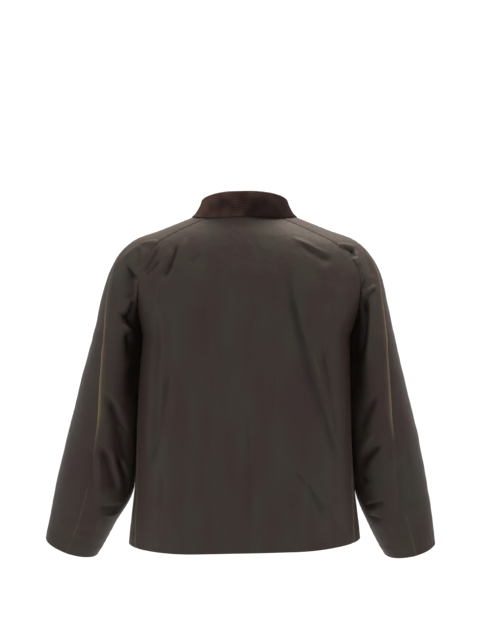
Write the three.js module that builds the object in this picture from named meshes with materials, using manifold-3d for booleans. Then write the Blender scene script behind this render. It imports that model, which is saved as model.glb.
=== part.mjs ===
// A short waxed cotton jacket with raglan sleeves, a corduroy collar and a zip, in the hollow shape that it
// keeps when it is worn with the arms down. Millimetres, +Z up, front towards -Y, the wearer's left at +X.
// The origin is the nape: the middle of the back neck seam.
import * as THREE from "three";
import { mergeVertices } from "three/addons/utils/BufferGeometryUtils.js";
import Module from "manifold-3d";

const wasm = await Module();
wasm.setup();

// Driving dimensions
const CLOTH = 2; // waxed cotton with its seam turnings
const CORDUROY = 2.6; // two layers of corduroy
const SEAM_GAP = 0.3; // between the edges of two pieces that are sewn together
const NECK_GAP = 0.9; // between the neck's edge and the foot of the collar's stand
const CREASE_GAP = 0.6; // between trunk and sleeve at the bottom of the armpit crease
const OPENING_HALF = 7; // from the centre front to the edge of each front
const TURNING = 10; // the strip of each front, beside the zip, that the zip's tape is sewn to
const OUTLINE_STEPS = 90; // points along a section's outline before it is divided evenly

// Whole columns across each piece
const BACK_COLUMNS = 20;
const FRONT_COLUMNS = 12;
const SLEEVE_BACK_COLUMNS = 8;
const SLEEVE_FRONT_COLUMNS = 12;
const COLLAR_COLUMNS = 44;

const table = (names, rows) =>
  rows.map((row) => Object.fromEntries(names.map((name, i) => [name, row[i]])));

// Sections of the body from the neck down. Down to the underarm one outline takes in the trunk and both sleeves;
// wide is its half width, and rightIn how much less that is on the right. The seams' x is theirs on the right, and
// leftIn how much nearer the middle they lie on the left. From the underarm on it is where the trunk's side is. pinch nips the outline in at the armhole seam, until it parts trunk from sleeve
// at the underarm. vent is how far the side seam lies behind the trunk's side. steps is how many rows of cloth
// there are from a section to the next.
const NECK = 0;
const UNDERARM = 10;
const BODY = table(
  [
    "backZ", "sideZ", "frontZ", "wide", "rightIn", "backY", "frontY", "square",
    "backSeam", "frontSeam", "leftIn", "pinch", "roundIn", "roundOut", "vent", "skew", "steps",
  ],
  [
    [0, 13, -86, 74, 0, 0, -150, 2.0, 52, 60, 0, 0, 40, 30, 0, 0, 1],
    [-8, 5, -92, 100, 0, 4, -158, 2.05, 74, 72, 0, 0, 40, 30, 0, 0, 1],
    [-20, -7, -100, 130, 0, 9, -165, 2.1, 100, 88, 0, 0, 40, 30, 0, 0, 2],
    [-40, -25, -112, 175, 0, 18, -174, 2.2, 140, 114, 0, 0, 40, 30, 0, 0, 2],
    [-66, -43, -127, 224, 0, 26, -183, 2.3, 181, 142, 5, 0, 44, 34, 0, 0, 1],
    [-93, -64, -146, 252, 0, 32, -193, 2.4, 209, 167, 14, 0, 48, 38, 0, 0, 1],
    [-121, -96, -165, 273, 0, 37, -201, 2.5, 229, 186, 20, 0.02, 52, 42, 0, 0, 1],
    [-152, -138, -186, 289, 1.5, 41, -208, 2.6, 234, 198, 20, 0.12, 54, 46, 0, 0, 2],
    [-190, -182, -210, 300, 3, 44, -215, 2.75, 231, 206, 15, 0.5, 54, 52, 0, 0, 2],
    [-224, -221, -231, 308, 3.5, 46, -221, 2.9, 224, 213, 11, 0.85, 55, 60, 0, 0, 1],
    [-252, -252, -252, 315, 3.5, 47, -225, 3.0, 218, 218, 7, 1, 56, 68, 0, 0, 3],
    [-335, -335, -333, 323, 3, 48, -231, 3.0, 219, 219, 0.5, 1, 60, 68, 8, 0, 3],
    [-435, -435, -430, 330, 2, 50, -236, 3.0, 221, 221, -1.5, 1, 70, 68, 26, 0, 3],
    [-540, -538, -530, 336, 0, 52, -240, 3.0, 227, 227, 0, 1, 92, 68, 44, -1, 2],
    [-615, -610, -600, 344, 0, 54, -242, 3.0, 235, 235, 0, 1, 120, 68, 56, -4, 2],
    [-667, -659.5, -650, 350, 0, 56, -243, 3.0, 240, 240, 0, 1, 142, 68, 62, -8, 0],
  ],
);

// Rings of each sleeve from the underarm to the cuff: the outer and inner point of the ring in the plane of the
// arm, where it lies from front to back, how far its back tips down, and the overarm seam's place in from its
// outer edge. round is 0 where a ring still has the outline of the body's section and 1 where it is its own.
// The left arm stands out a little more than the right.
const SLEEVE = table(
  [
    "leftOuter", "leftOuterZ", "rightOuter", "rightOuterZ", "leftInner", "rightInner", "innerZ",
    "midY", "halfDepth", "tip", "square", "leftSeamIn", "rightSeamIn", "round", "steps",
  ],
  [
    [315, -252, 311.5, -252, 211.3, 218.3, -252, -89, 97, 0, 2.2, 30, 25, 0, 2],
    [337, -325, 330.5, -325, 219.2, 220.3, -337, -97, 94, 2, 2.2, 45, 38, 0.6, 2],
    [362, -418, 355, -418, 223, 221.3, -440, -109, 87, 4, 2.15, 62, 54, 1, 3],
    [388, -518, 377.5, -518, 231.5, 230.5, -556, -121, 75, 6, 2.1, 68, 60, 1, 2],
    [404.5, -592, 391.5, -594, 272, 260, -634, -126, 62, 8, 2.05, 63, 56, 1, 1],
    [413, -636, 398.5, -644, 293.5, 280, -674, -129, 55, 9, 2, 55, 50, 1, 1],
    [419, -667, 402, -677, 311, 297, -702, -131, 51, 9, 2, 49, 46, 1, 0],
  ],
);

// Where the overarm seam lies on the body's sections down to the underarm, in from the outer edge
const LEFT_SHOULDER_SEAM_IN = [0, 0, 0, 0, 1, 3, 6, 12, 19, 25, 30];
const RIGHT_SHOULDER_SEAM_IN = [0, 0, 0, 0, 1, 3, 6, 11, 16, 20, 25];

// The largest folds: from and to are (x, z) on the back (face 1) or the front (face -1). depth is positive for a
// ridge and negative for a trough.
const FOLDS = table(
  ["face", "fromX", "fromZ", "toX", "toZ", "width", "depth"],
  [
    [1, -2, -330, -5, -668, 15, -3.2],
    [1, 190, -205, 176, -480, 20, 5],
    [1, 160, -240, 150, -600, 26, -4.5],
    [1, -190, -215, -180, -470, 20, 5],
    [1, -160, -330, -190, -560, 20, -5],
    [1, -130, -350, -166, -570, 18, 4],
    [1, -104, -470, -146, -640, 20, -3.5],
    [1, 150, -60, 196, -150, 14, -4],
    [1, 104, -70, 162, -168, 16, -3],
    [1, -128, -62, -196, -140, 14, -4],
    [1, 275, -170, 325, -420, 18, -5],
    [1, 268, -330, 318, -600, 20, 5],
    [1, -270, -170, -318, -420, 18, -5],
    [1, -268, -330, -306, -600, 20, 5],
    [-1, 96, -300, 130, -600, 26, -4.5],
    [-1, -90, -320, -122, -610, 26, -4.5],
    [-1, 160, -210, 120, -330, 20, -5],
    [-1, -160, -210, -120, -330, 20, -5],
    [-1, 275, -200, 318, -430, 20, -5],
    [-1, -275, -200, -314, -430, 20, -5],
    [-1, 290, -470, 340, -540, 18, -4],
    [-1, -285, -470, -330, -540, 18, -4],
  ],
);
const FOLD_FACING = [0.55, 0.9]; // how squarely cloth must face the front or back to be folded: none, fully

// Collar, from the nape (around 0) to the front (around 1): how high its fold stands over the neck seam and how
// far out, and the point of the body, seen from above, that the fall's edge lies over
const COLLAR = table(
  ["around", "high", "out", "edgeX", "edgeY"],
  [
    [0, 51, -5, 0, 1],
    [0.1, 49, -4, 25, -1],
    [0.2, 43, 1, 50, -7],
    [0.3, 34.5, 6, 71, -16],
    [0.4, 25.5, 9, 88, -29],
    [0.5, 18, 9, 102, -50],
    [0.62, 14, 8, 108, -86],
    [0.8, 12, 7, 96, -134],
    [1, 9, 3, 46, -188],
  ],
);
const COLLAR_FRONT = 8; // from the centre front to each end of the collar
const FOLD_RADIUS = 5; // of the corduroy's outer face, over the top of the collar
const FOLD_STEPS = 5;
const STAND_STEPS = 3;
const FALL_STEPS = 5;
const FALL_CLEAR = 1.1; // between the fall and the shoulders
const FALL_BULGE = 4;

// Zip: half widths of the chain and of a tape, thicknesses, and the rows of the front where they start
const CHAIN_HALF = 3;
const CHAIN_THICK = 2.8;
const TAPE_THICK = 1;
const TAPE_INNER = 2.2; // from the centre front to the tape's edge under the teeth
const ZIP_PART = 0.15; // from the centre front to each half of the chain
const ZIP_GAP = 0.3; // between tape and front
const SLOT_GAP = 0.5; // round the chain in the slider
const TAPE_FIRST_ROW = 1;
const CHAIN_FIRST_ROW = 4;
const SLIDER = { width: 9, length: 13, plate: 1.4, post: 2.6, postLong: 2 };
const ARCH = { width: 2.2, bar: 1.6, high: 2.8, long: 5 };
const PULL = { width: 9, length: 36, thick: 1.6, eyeWide: 4.2, eyeLong: 5, corner: 2 };

// Monotone cubic through a column's values, so that no section bulges past its neighbours
function slopes(values) {
  const rise = values.slice(1).map((v, i) => v - values[i]);
  return values.map((_, i) => {
    if (i === 0) return rise[0];
    if (i === rise.length) return rise[i - 1];
    const [a, b] = [rise[i - 1], rise[i]];
    return a * b <= 0 ? 0 : (2 * a * b) / (a + b);
  });
}

function alongTable(rows) {
  const columns = Object.keys(rows[0]).map((name) => {
    const values = rows.map((row) => row[name]);
    return { name, values, slope: slopes(values) };
  });
  return (at) => {
    const i = Math.min(Math.floor(at), rows.length - 2);
    const t = at - i;
    const ease = t * t * (3 - 2 * t);
    const section = {};
    for (const { name, values, slope } of columns)
      section[name] =
        values[i] +
        (values[i + 1] - values[i]) * ease +
        slope[i] * t * (1 - t) * (1 - t) -
        slope[i + 1] * t * t * (1 - t);
    return section;
  };
}

const bodyAt = alongTable(BODY);
const bodyOn = (station, hand) => {
  const section = bodyAt(station);
  const { wide, rightIn, backSeam, frontSeam, leftIn } = section;
  if (hand < 0) return { ...section, wide: wide - rightIn };
  return { ...section, backSeam: backSeam - leftIn, frontSeam: frontSeam - leftIn };
};
const sleeveAt = alongTable(SLEEVE);
const collarAt = alongTable(COLLAR);
const shoulderSeamAt = alongTable(
  LEFT_SHOULDER_SEAM_IN.map((left, i) => ({ left, right: RIGHT_SHOULDER_SEAM_IN[i] })),
);
const sideOf = (hand) => (hand > 0 ? "left" : "right");

// The places in a table where rows of cloth are made
const stations = (rows, first, last) => {
  const places = [];
  for (let i = first; i < last; i++)
    for (let s = 0; s < rows[i].steps; s++) places.push(i + s / rows[i].steps);
  return [...places, last];
};

const steps = (count) => Array.from({ length: count + 1 }, (_, i) => i / count);
const middleY = (section) => (section.backY + section.frontY) / 2;
const halfDeep = (section) => (section.backY - section.frontY) / 2;

// How far out the section's outline is at x, as a share of its half depth
const bow = (section, x) =>
  Math.pow(Math.max(0, 1 - Math.pow(Math.abs(x) / section.wide, section.square)), 1 / section.square);

// How deeply the section is nipped in, at dx outside the armhole seam: 1 at the seam, round beside it
function nip(section, dx) {
  const off = Math.abs(dx) / (dx < 0 ? section.roundIn : section.roundOut);
  return off < 1 ? 1 - Math.sqrt(1 - (1 - off) * (1 - off)) : 0;
}

// A point of a body section's outline. face is 1 at the back and -1 at the front, hand is 1 on the left.
function bodyPoint(section, x, face, hand) {
  const seam = face > 0 ? section.backSeam : section.frontSeam;
  const share = bow(section, x);
  const endZ = face > 0 ? section.backZ : section.frontZ;
  return new THREE.Vector3(
    hand * x,
    middleY(section) + face * halfDeep(section) * share * (1 - section.pinch * nip(section, x - seam)),
    section.sideZ + (endZ - section.sideZ) * share * share + (section.skew * hand * x) / section.wide,
  );
}

// The trunk's outline from the centre to the seam or side, and a sleeve's from the seam to its outer edge
function trunkHalf(section, face, hand) {
  const seam = (face > 0 ? section.backSeam : section.frontSeam) - (section.pinch * CREASE_GAP) / 2;
  return steps(OUTLINE_STEPS).map((t) =>
    bodyPoint(section, seam * Math.sin((t * Math.PI) / 2), face, hand));
}
function shoulderHalf(section, face, hand) {
  const seam = (face > 0 ? section.backSeam : section.frontSeam) + (section.pinch * CREASE_GAP) / 2;
  const reach = section.wide - seam;
  return steps(OUTLINE_STEPS).map((t) =>
    bodyPoint(section, seam + (reach * (1 - Math.cos(Math.PI * t))) / 2, face, hand));
}

// The length of a line up to each of its points
function lengths(line) {
  const sums = [0];
  for (let i = 1; i < line.length; i++) sums.push(sums[i - 1] + line[i].distanceTo(line[i - 1]));
  return sums;
}
const lengthOf = (line) => lengths(line).at(-1);

// Places spread evenly between two lengths along a line, each with the line's direction there
function spread(line, from, to, columns) {
  const sums = lengths(line);
  let i = 1;
  return steps(columns).map((t) => {
    const want = from + (to - from) * t;
    while (i < sums.length - 1 && sums[i] < want) i++;
    const share = (want - sums[i - 1]) / (sums[i] - sums[i - 1]);
    return {
      at: line[i - 1].clone().lerp(line[i], share),
      along: line[i].clone().sub(line[i - 1]).normalize(),
    };
  });
}

// How far along the line its x first reaches a value, going outwards
function lengthAtX(line, x) {
  const sums = lengths(line);
  const i = line.findIndex((p) => Math.abs(p.x) >= x);
  if (i <= 0) return i < 0 ? sums.at(-1) : 0;
  const [a, b] = [Math.abs(line[i - 1].x), Math.abs(line[i].x)];
  return sums[i - 1] + ((sums[i] - sums[i - 1]) * (x - a)) / (b - a);
}

// Normals of a grid of places, pointing out of the cloth; turn says which way round its rows run
function normals(grid, turn) {
  const row = (r) => grid[Math.min(Math.max(r, 0), grid.length - 1)];
  return grid.map((places, r) =>
    places.map(({ along }, c) => {
      const down = row(r + 1)[c].at.clone().sub(row(r - 1)[c].at);
      return down.cross(along).normalize().multiplyScalar(turn);
    }));
}

// How far the folds move a point in or out
function foldAt(point, normal) {
  const { smoothstep } = THREE.MathUtils;
  let height = 0;
  for (const fold of FOLDS) {
    const facing = smoothstep(normal.y * fold.face, ...FOLD_FACING);
    if (facing === 0) continue;
    const [dx, dz] = [fold.toX - fold.fromX, fold.toZ - fold.fromZ];
    const long = Math.hypot(dx, dz);
    const [px, pz] = [point.x - fold.fromX, point.z - fold.fromZ];
    const along = (px * dx + pz * dz) / long;
    const off = (px * dz - pz * dx) / long / fold.width;
    const begins = smoothstep(along, -fold.width, long * 0.35);
    const ends = smoothstep(along, long * 0.65, long + fold.width);
    height += facing * begins * (1 - ends) * fold.depth * Math.exp(-off * off);
  }
  return height;
}

function folded(grid, turn) {
  const out = normals(grid, turn);
  return grid.map((places, r) =>
    places.map(({ at, along }, c) => ({
      at: at.clone().addScaledVector(out[r][c], foldAt(at, out[r][c])),
      along,
    })));
}

// A closed wall of cloth whose outer face is the grid
function wall(grid, thickness, turn) {
  const out = normals(grid, turn);
  const [rows, columns] = [grid.length, grid[0].length];
  const positions = [];
  for (const depth of [0, thickness])
    for (let r = 0; r < rows; r++)
      for (let c = 0; c < columns; c++)
        positions.push(...grid[r][c].at.clone().addScaledVector(out[r][c], -depth));
  const index = [];
  const outer = (r, c) => r * columns + c;
  const inner = (r, c) => rows * columns + outer(r, c);
  const face = (a, b, c, d) => {
    if (turn > 0) index.push(a, b, c, a, c, d);
    else index.push(a, c, b, a, d, c);
  };
  const [lastRow, lastColumn] = [rows - 1, columns - 1];
  for (let r = 0; r < lastRow; r++) {
    for (let c = 0; c < lastColumn; c++) {
      face(outer(r, c), outer(r + 1, c), outer(r + 1, c + 1), outer(r, c + 1));
      face(inner(r, c), inner(r, c + 1), inner(r + 1, c + 1), inner(r + 1, c));
    }
    face(outer(r, 0), inner(r, 0), inner(r + 1, 0), outer(r + 1, 0));
    face(outer(r + 1, lastColumn), inner(r + 1, lastColumn), inner(r, lastColumn), outer(r, lastColumn));
  }
  for (let c = 0; c < lastColumn; c++) {
    face(outer(0, c + 1), inner(0, c + 1), inner(0, c), outer(0, c));
    face(outer(lastRow, c), inner(lastRow, c), inner(lastRow, c + 1), outer(lastRow, c + 1));
  }
  const geometry = new THREE.BufferGeometry();
  geometry.setAttribute("position", new THREE.Float32BufferAttribute(positions, 3));
  geometry.setIndex(index);
  geometry.computeVertexNormals();
  return geometry;
}

// Back: from the right seam across to the left one
function backGrid() {
  return stations(BODY, NECK, BODY.length - 1).map((station) => {
    const [right, left] = [-1, 1].map((hand) => trunkHalf(bodyOn(station, hand), 1, hand));
    const line = [...right.reverse(), ...left.slice(1)];
    const edge = bodyAt(station).vent + SEAM_GAP / 2;
    return spread(line, edge, lengthOf(line) - edge, BACK_COLUMNS);
  });
}

// Front: from the armhole or side seam to the zip, with a narrow last column where the zip's tape is sewn on
function frontGrid(hand) {
  return stations(BODY, NECK, BODY.length - 1).map((station) => {
    const section = bodyOn(station, hand);
    const fromCentre = trunkHalf(section, -1, hand);
    const side = station > UNDERARM ? trunkHalf(section, 1, hand) : [];
    const line = [...side.slice(0, -1), ...fromCentre.toReversed()];
    const start = side.length > 0 ? lengthOf(side) - section.vent : 0;
    const total = lengthOf(line);
    const turning = total - lengthAtX(fromCentre, OPENING_HALF + TURNING);
    const edge = total - lengthAtX(fromCentre, OPENING_HALF);
    const places = spread(line, start + SEAM_GAP / 2, turning, FRONT_COLUMNS - 1);
    return [...places, spread(line, turning, edge, 1)[1]];
  });
}

// How far the body's section stands out over an arm at the underarm
function underarmDepths(hand) {
  const section = bodyOn(UNDERARM, hand);
  return shoulderHalf(section, 1, hand).map((p) => p.y - middleY(section));
}
const upperDepths = { left: underarmDepths(1), right: underarmDepths(-1) };

// Half a ring of a sleeve below the underarm, from its inner to its outer side
function sleeveHalf(station, face, hand) {
  const ring = sleeveAt(station);
  const side = sideOf(hand);
  const outer = new THREE.Vector2(ring[side + "Outer"], ring[side + "OuterZ"]);
  const inner = new THREE.Vector2(ring[side + "Inner"], ring.innerZ);
  return steps(OUTLINE_STEPS).map((t, i) => {
    const across = (1 - Math.cos(Math.PI * t)) / 2;
    const round = Math.pow(1 - Math.pow(Math.abs(2 * across - 1), ring.square), 1 / ring.square);
    const depth = face * THREE.MathUtils.lerp(upperDepths[side][i], ring.halfDepth * round, ring.round);
    const place = inner.clone().lerp(outer, across);
    const z = place.y - (ring.tip * depth) / ring.halfDepth;
    return new THREE.Vector3(hand * place.x, ring.midY + depth, z);
  });
}

// Rows of a sleeve: its back half, its front half and the overarm seam's x. Above the underarm each row is part
// of the body's section, out from the armhole seam.
function sleeveRows(hand) {
  const upper = stations(BODY, NECK, UNDERARM).slice(0, -1).map((station) => {
    const section = bodyOn(station, hand);
    return {
      back: shoulderHalf(section, 1, hand),
      front: shoulderHalf(section, -1, hand),
      seamX: section.wide - shoulderSeamAt(station)[sideOf(hand)],
    };
  });
  const lower = stations(SLEEVE, 0, SLEEVE.length - 1).map((station) => {
    const back = sleeveHalf(station, 1, hand);
    return {
      back,
      front: sleeveHalf(station, -1, hand),
      seamX: Math.abs(back.at(-1).x) - sleeveAt(station)[sideOf(hand) + "SeamIn"],
    };
  });
  return [...upper, ...lower];
}
const sleeveBackGrid = (hand) =>
  sleeveRows(hand).map(({ back, seamX }) =>
    spread(back, SEAM_GAP / 2, lengthAtX(back, seamX) - SEAM_GAP / 2, SLEEVE_BACK_COLUMNS));
const sleeveFrontGrid = (hand) =>
  sleeveRows(hand).map(({ back, front, seamX }) => {
    const line = [...back, ...front.toReversed().slice(1)];
    const start = lengthAtX(back, seamX) + SEAM_GAP / 2;
    return spread(line, start, lengthOf(line) - SEAM_GAP / 2, SLEEVE_FRONT_COLUMNS);
  });

// The neck seam's point at a share of the way round from the nape to the front
function neckPoint(around, hand) {
  const section = { ...bodyAt(NECK), backSeam: BODY[NECK].wide, frontSeam: BODY[NECK].wide };
  const line = [...trunkHalf(section, 1, hand), ...trunkHalf(section, -1, hand).toReversed().slice(1)];
  return spread(line, 0, (lengthOf(line) - COLLAR_FRONT) * around, 1)[1].at;
}

// Height of the body's cloth at a place seen from above, found as the section whose outline passes there
function bodyHeight(x, y) {
  let [above, below] = [NECK, UNDERARM];
  const share = (section) => Math.abs(y - middleY(section)) / halfDeep(section);
  for (let i = 0; i < 24; i++) {
    const section = bodyAt((above + below) / 2);
    const reach = Math.pow(Math.abs(x) / section.wide, section.square) + Math.pow(share(section), section.square);
    if (reach > 1) above = (above + below) / 2;
    else below = (above + below) / 2;
  }
  const section = bodyAt(above);
  const endZ = y > middleY(section) ? section.backZ : section.frontZ;
  return section.sideZ + (endZ - section.sideZ) * Math.min(1, share(section)) ** 2;
}
function bodyNormal(x, y) {
  const slopeX = (bodyHeight(x + 1, y) - bodyHeight(x - 1, y)) / 2;
  const slopeY = (bodyHeight(x, y + 1) - bodyHeight(x, y - 1)) / 2;
  return new THREE.Vector3(-slopeX, -slopeY, 1).normalize();
}

// Moves a point of the collar's fall outwards until its underside is clear of the body
function liftClear(point) {
  for (let i = 0; i < 4; i++) {
    const normal = bodyNormal(point.x, point.y);
    const height = (point.z - bodyHeight(point.x, point.y)) * normal.z;
    point.addScaledVector(normal, Math.max(0, CORDUROY + FALL_CLEAR - height));
  }
  return point;
}

// A line up the stand, over the fold and down the fall. The foot of the stand is level.
function collarLine(around, hand) {
  const place = COLLAR.findLastIndex((row) => row.around <= around && row.around < 1);
  const share = (around - COLLAR[place].around) / (COLLAR[place + 1].around - COLLAR[place].around);
  const shape = collarAt(place + share);
  const along = neckPoint(Math.min(around + 0.02, 1), hand).sub(neckPoint(Math.max(around - 0.02, 0), hand));
  const outward = around > 0 ? new THREE.Vector3(-along.y * hand, along.x * hand, 0) : new THREE.Vector3(0, 1, 0);
  outward.normalize();
  const foot = neckPoint(around, hand).addScaledVector(outward, -CORDUROY);
  foot.z += NECK_GAP;
  const top = foot.clone().addScaledVector(outward, shape.out);
  top.z += shape.high - FOLD_RADIUS;
  const centre = top.clone().addScaledVector(outward, FOLD_RADIUS);
  const stand = steps(STAND_STEPS).map((t) => foot.clone().lerp(top, t));
  const fold = steps(FOLD_STEPS).slice(1, -1).map((t) => {
    const rise = new THREE.Vector3(0, 0, FOLD_RADIUS * Math.sin(Math.PI * t));
    return centre.clone().addScaledVector(outward, -FOLD_RADIUS * Math.cos(Math.PI * t)).add(rise);
  });
  const start = centre.clone().addScaledVector(outward, FOLD_RADIUS);
  const edge = liftClear(new THREE.Vector3(hand * shape.edgeX, shape.edgeY, bodyHeight(shape.edgeX, shape.edgeY)));
  const puff = bodyNormal(edge.x, edge.y).multiplyScalar(FALL_BULGE);
  const fall = steps(FALL_STEPS).map((t) =>
    liftClear(start.clone().lerp(edge, t).addScaledVector(puff, Math.sin(Math.PI * t))));
  const points = [...stand, ...fold, ...fall];
  const level = { at: foot, along: new THREE.Vector3(0, 0, 1) };
  const rest = points.slice(1).map((at, i) => ({ at, along: (points[i + 2] ?? at).clone().sub(points[i]) }));
  return [level, ...rest];
}

function collarGrid() {
  const [right, left] = [-1, 1].map((hand) =>
    steps(COLLAR_COLUMNS / 2).map((around) => collarLine(around, hand)));
  return [...right.reverse(), ...left.slice(1)];
}

// Booleans
function solid(geometry) {
  const bare = geometry.clone();
  bare.deleteAttribute("normal");
  bare.deleteAttribute("uv");
  const merged = mergeVertices(bare);
  return new wasm.Manifold(new wasm.Mesh({
    numProp: 3,
    vertProperties: new Float32Array(merged.attributes.position.array),
    triVerts: new Uint32Array(merged.index.array),
  }));
}
function joined(...geometries) {
  const mesh = wasm.Manifold.union(geometries.map(solid)).getMesh();
  const geometry = new THREE.BufferGeometry();
  geometry.setAttribute("position", new THREE.BufferAttribute(mesh.vertProperties, 3));
  geometry.setIndex(new THREE.BufferAttribute(mesh.triVerts, 1));
  geometry.computeVertexNormals();
  return geometry;
}

// A bar that runs down through rings of four corners each
function bar(rings, hand) {
  const index = [];
  const face = (a, b, c, d) => {
    if (hand > 0) index.push(a, b, c, a, c, d);
    else index.push(a, c, b, a, d, c);
  };
  for (let r = 0; r < rings.length - 1; r++)
    for (let c = 0; c < 4; c++) {
      const [a, b] = [4 * r + c, 4 * r + ((c + 1) % 4)];
      face(a, b, b + 4, a + 4);
    }
  const last = 4 * (rings.length - 1);
  face(3, 2, 1, 0);
  face(last, last + 1, last + 2, last + 3);
  const geometry = new THREE.BufferGeometry();
  const positions = rings.flat().flatMap((p) => p.toArray());
  geometry.setAttribute("position", new THREE.Float32BufferAttribute(positions, 3));
  geometry.setIndex(index);
  return geometry;
}

// Half of the zip: its tape lies under the last column of the front, its half of the chain beside the other half
const TAPE_DEPTH = CLOTH + ZIP_GAP + TAPE_THICK / 2;
function stringer(grid, hand) {
  const out = normals(grid, -hand);
  const atX = (r, x, depth) => {
    const column = grid[0].length - (x > OPENING_HALF ? 2 : 1);
    const point = grid[r][column].at.clone().addScaledVector(out[r][column], -depth);
    return x > OPENING_HALF ? point : point.setX(hand * x);
  };
  const ring = (r, outer, inner, thick) => [
    atX(r, outer, TAPE_DEPTH - thick / 2),
    atX(r, inner, TAPE_DEPTH - thick / 2),
    atX(r, inner, TAPE_DEPTH + thick / 2),
    atX(r, outer, TAPE_DEPTH + thick / 2),
  ];
  const rows = grid.map((_, r) => r);
  const turned = rows.slice(TAPE_FIRST_ROW).map((r) => ring(r, OPENING_HALF + TURNING, OPENING_HALF, TAPE_THICK));
  const bare = rows.slice(TAPE_FIRST_ROW).map((r) => ring(r, OPENING_HALF, TAPE_INNER, TAPE_THICK));
  const chain = rows.slice(CHAIN_FIRST_ROW).map((r) => ring(r, CHAIN_HALF, ZIP_PART, CHAIN_THICK));
  return joined(bar(turned, hand), bar(bare, hand), bar(chain, hand));
}

// The slider's own frame: its top on the zip, y out of the cloth, z down along the zip
function sliderFrame(grid) {
  const [top, low] = [CHAIN_FIRST_ROW - 1, CHAIN_FIRST_ROW + 1].map((r) => grid[r].at(-1).at.clone().setX(0));
  const down = low.clone().sub(top);
  const frame = new THREE.Group();
  frame.position.copy(top);
  frame.rotation.x = Math.atan2(-down.y, down.z);
  return frame;
}
const box = (x, y, z) => {
  const geometry = new THREE.BoxGeometry(x[1] - x[0], y[1] - y[0], z[1] - z[0]);
  return geometry.translate((x[0] + x[1]) / 2, (y[0] + y[1]) / 2, (z[0] + z[1]) / 2);
};
const either = (half) => [-half, half];
const SLOT_TOP = -(TAPE_DEPTH - CHAIN_THICK / 2 - SLOT_GAP);
const SLOT_BOTTOM = -(TAPE_DEPTH + CHAIN_THICK / 2 + SLOT_GAP);
const PLATE_FACE = SLOT_TOP + SLIDER.plate;
const PULL_AXIS = { y: PLATE_FACE + ARCH.high / 2, z: SLIDER.length / 2 };
function sliderShape() {
  const wide = either(SLIDER.width / 2);
  const arch = either(ARCH.width / 2);
  const legIn = ARCH.long / 2;
  const legOut = legIn + ARCH.bar;
  const crown = PLATE_FACE + ARCH.high;
  const root = PLATE_FACE - SLIDER.plate / 2;
  return joined(
    box(wide, [SLOT_TOP, PLATE_FACE], [0, SLIDER.length]),
    box(wide, [SLOT_BOTTOM - SLIDER.plate, SLOT_BOTTOM], [0, SLIDER.length]),
    box(either(SLIDER.post / 2), [SLOT_BOTTOM - SLIDER.plate / 2, root], [0, SLIDER.postLong]),
    box(arch, [root, crown + ARCH.bar], [PULL_AXIS.z - legOut, PULL_AXIS.z - legIn]),
    box(arch, [root, crown + ARCH.bar], [PULL_AXIS.z + legIn, PULL_AXIS.z + legOut]),
    box(arch, [crown, crown + ARCH.bar], [PULL_AXIS.z - legOut, PULL_AXIS.z + legOut]),
  );
}

// The pull tab hangs from the arch by the bar above its eye
function pullShape() {
  const [half, top, bottom, r] = [PULL.width / 2, -PULL.thick / 2, PULL.length, PULL.corner];
  const outline = new THREE.Shape();
  outline.moveTo(-half, top);
  outline.lineTo(half, top);
  outline.lineTo(half, bottom - r);
  outline.absarc(half - r, bottom - r, r, 0, Math.PI / 2, false);
  outline.absarc(r - half, bottom - r, r, Math.PI / 2, Math.PI, false);
  outline.closePath();
  const eye = new THREE.Path();
  const [eyeHalf, eyeTop, eyeEnd] = [PULL.eyeWide / 2, PULL.thick / 2, PULL.thick / 2 + PULL.eyeLong];
  eye.moveTo(-eyeHalf, eyeTop);
  eye.lineTo(-eyeHalf, eyeEnd);
  eye.lineTo(eyeHalf, eyeEnd);
  eye.lineTo(eyeHalf, eyeTop);
  eye.closePath();
  outline.holes.push(eye);
  const plate = new THREE.ExtrudeGeometry(outline, { depth: PULL.thick, bevelEnabled: false, curveSegments: 4 });
  return plate.rotateX(Math.PI / 2).translate(0, PULL_AXIS.y + PULL.thick / 2, PULL_AXIS.z);
}

const WAX = { color: 0x3d3530, roughness: 0.62, metalness: 0 };
const CORD = { color: 0x31211f, roughness: 0.9, metalness: 0 };
const TAPE = { color: 0x241d19, roughness: 0.85, metalness: 0 };
const METAL = { color: 0x8a7048, roughness: 0.35, metalness: 1 };

const jacket = new THREE.Group();
function add(name, geometry, finish, parent = jacket) {
  const mesh = new THREE.Mesh(geometry, new THREE.MeshStandardMaterial(finish));
  mesh.name = name;
  parent.add(mesh);
}

add("back", wall(folded(backGrid(), -1), CLOTH, -1), WAX);
add("collar", wall(collarGrid(), CORDUROY, 1), CORD);
let zipEdge;
for (const [side, hand] of [["left", 1], ["right", -1]]) {
  zipEdge = folded(frontGrid(hand), -hand);
  add("front_" + side, wall(zipEdge, CLOTH, -hand), WAX);
  add("sleeve_back_" + side, wall(folded(sleeveBackGrid(hand), -hand), CLOTH, -hand), WAX);
  add("sleeve_front_" + side, wall(folded(sleeveFrontGrid(hand), -hand), CLOTH, -hand), WAX);
  add("zip_" + side, stringer(zipEdge, hand), TAPE);
}
const slider = sliderFrame(zipEdge);
add("zip_slider", sliderShape(), METAL, slider);
add("zip_pull", pullShape(), METAL, slider);
jacket.add(slider);

export default jacket;
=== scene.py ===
import math

import bpy
import numpy as np
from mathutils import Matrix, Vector, noise


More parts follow.
